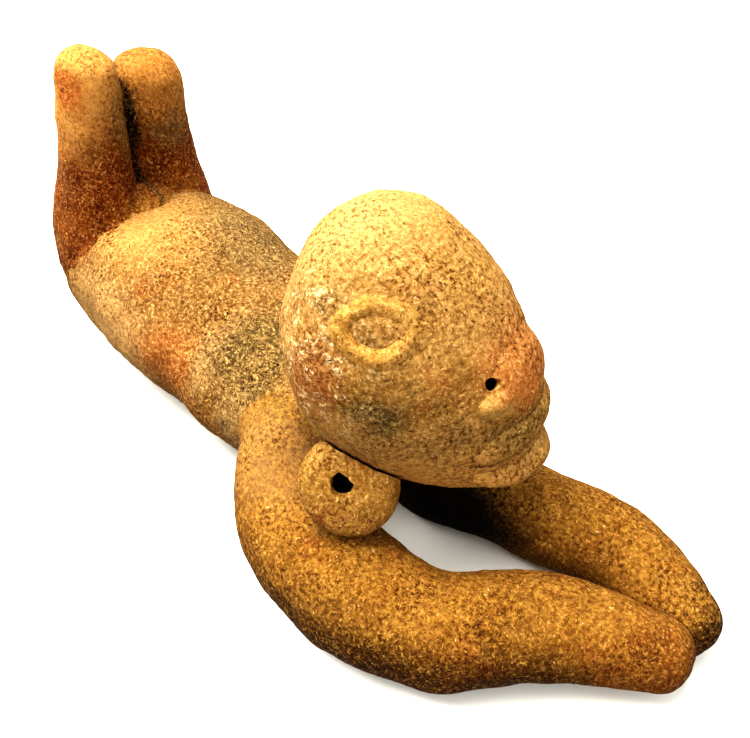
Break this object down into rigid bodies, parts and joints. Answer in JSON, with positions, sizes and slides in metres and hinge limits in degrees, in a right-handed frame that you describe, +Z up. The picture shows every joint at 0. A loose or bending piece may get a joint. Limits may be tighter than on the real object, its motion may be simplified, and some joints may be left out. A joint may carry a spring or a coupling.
{
  "type": "terracotta figure lying face down",
  "caption": "Hand-built hollow clay figure lying on its belly, head raised, arms closed in a loop in front, lower legs raised from the knees.",
  "frame": {"origin": "middle of the figure's footprint, on the table that it lies on", "axes": "+X along the body towards the hands, +Y to the figure's left, +Z up"},
  "size_m": [0.3942, 0.1456, 0.1724],
  "materials": {
    "trunk": "matt, unglazed, coarse sandy terracotta",
    "right_lower_leg": "matt, unglazed, coarse sandy terracotta",
    "left_lower_leg": "matt, unglazed, coarse sandy terracotta",
    "right_arm": "matt, unglazed, coarse sandy terracotta",
    "left_arm": "matt, unglazed, coarse sandy terracotta",
    "neck": "matt, unglazed, coarse sandy terracotta",
    "head": "matt, unglazed, coarse sandy terracotta",
    "nose": "matt, unglazed, coarse sandy terracotta",
    "upper_lip": "matt, unglazed, coarse sandy terracotta",
    "lower_lip": "matt, unglazed, coarse sandy terracotta",
    "right_eye_rim": "matt, unglazed, coarse sandy terracotta",
    "left_eye_rim": "matt, unglazed, coarse sandy terracotta",
    "right_eye": "matt, unglazed, coarse sandy terracotta",
    "left_eye": "matt, unglazed, coarse sandy terracotta",
    "right_ear_spool": "matt, unglazed, coarse sandy terracotta",
    "left_ear_spool": "matt, unglazed, coarse sandy terracotta"
  },
  "bodies": {
    "root": {"trunk": "trunk", "right_lower_leg": "right_lower_leg", "left_lower_leg": "left_lower_leg", "right_arm": "right_arm", "left_arm": "left_arm", "neck": "neck", "head": "head", "nose": "nose", "upper_lip": "upper_lip", "lower_lip": "lower_lip", "right_eye_rim": "right_eye_rim", "left_eye_rim": "left_eye_rim", "right_eye": "right_eye", "left_eye": "left_eye", "right_ear_spool": "right_ear_spool", "left_ear_spool": "left_ear_spool"}
  },
  "joints": []
}
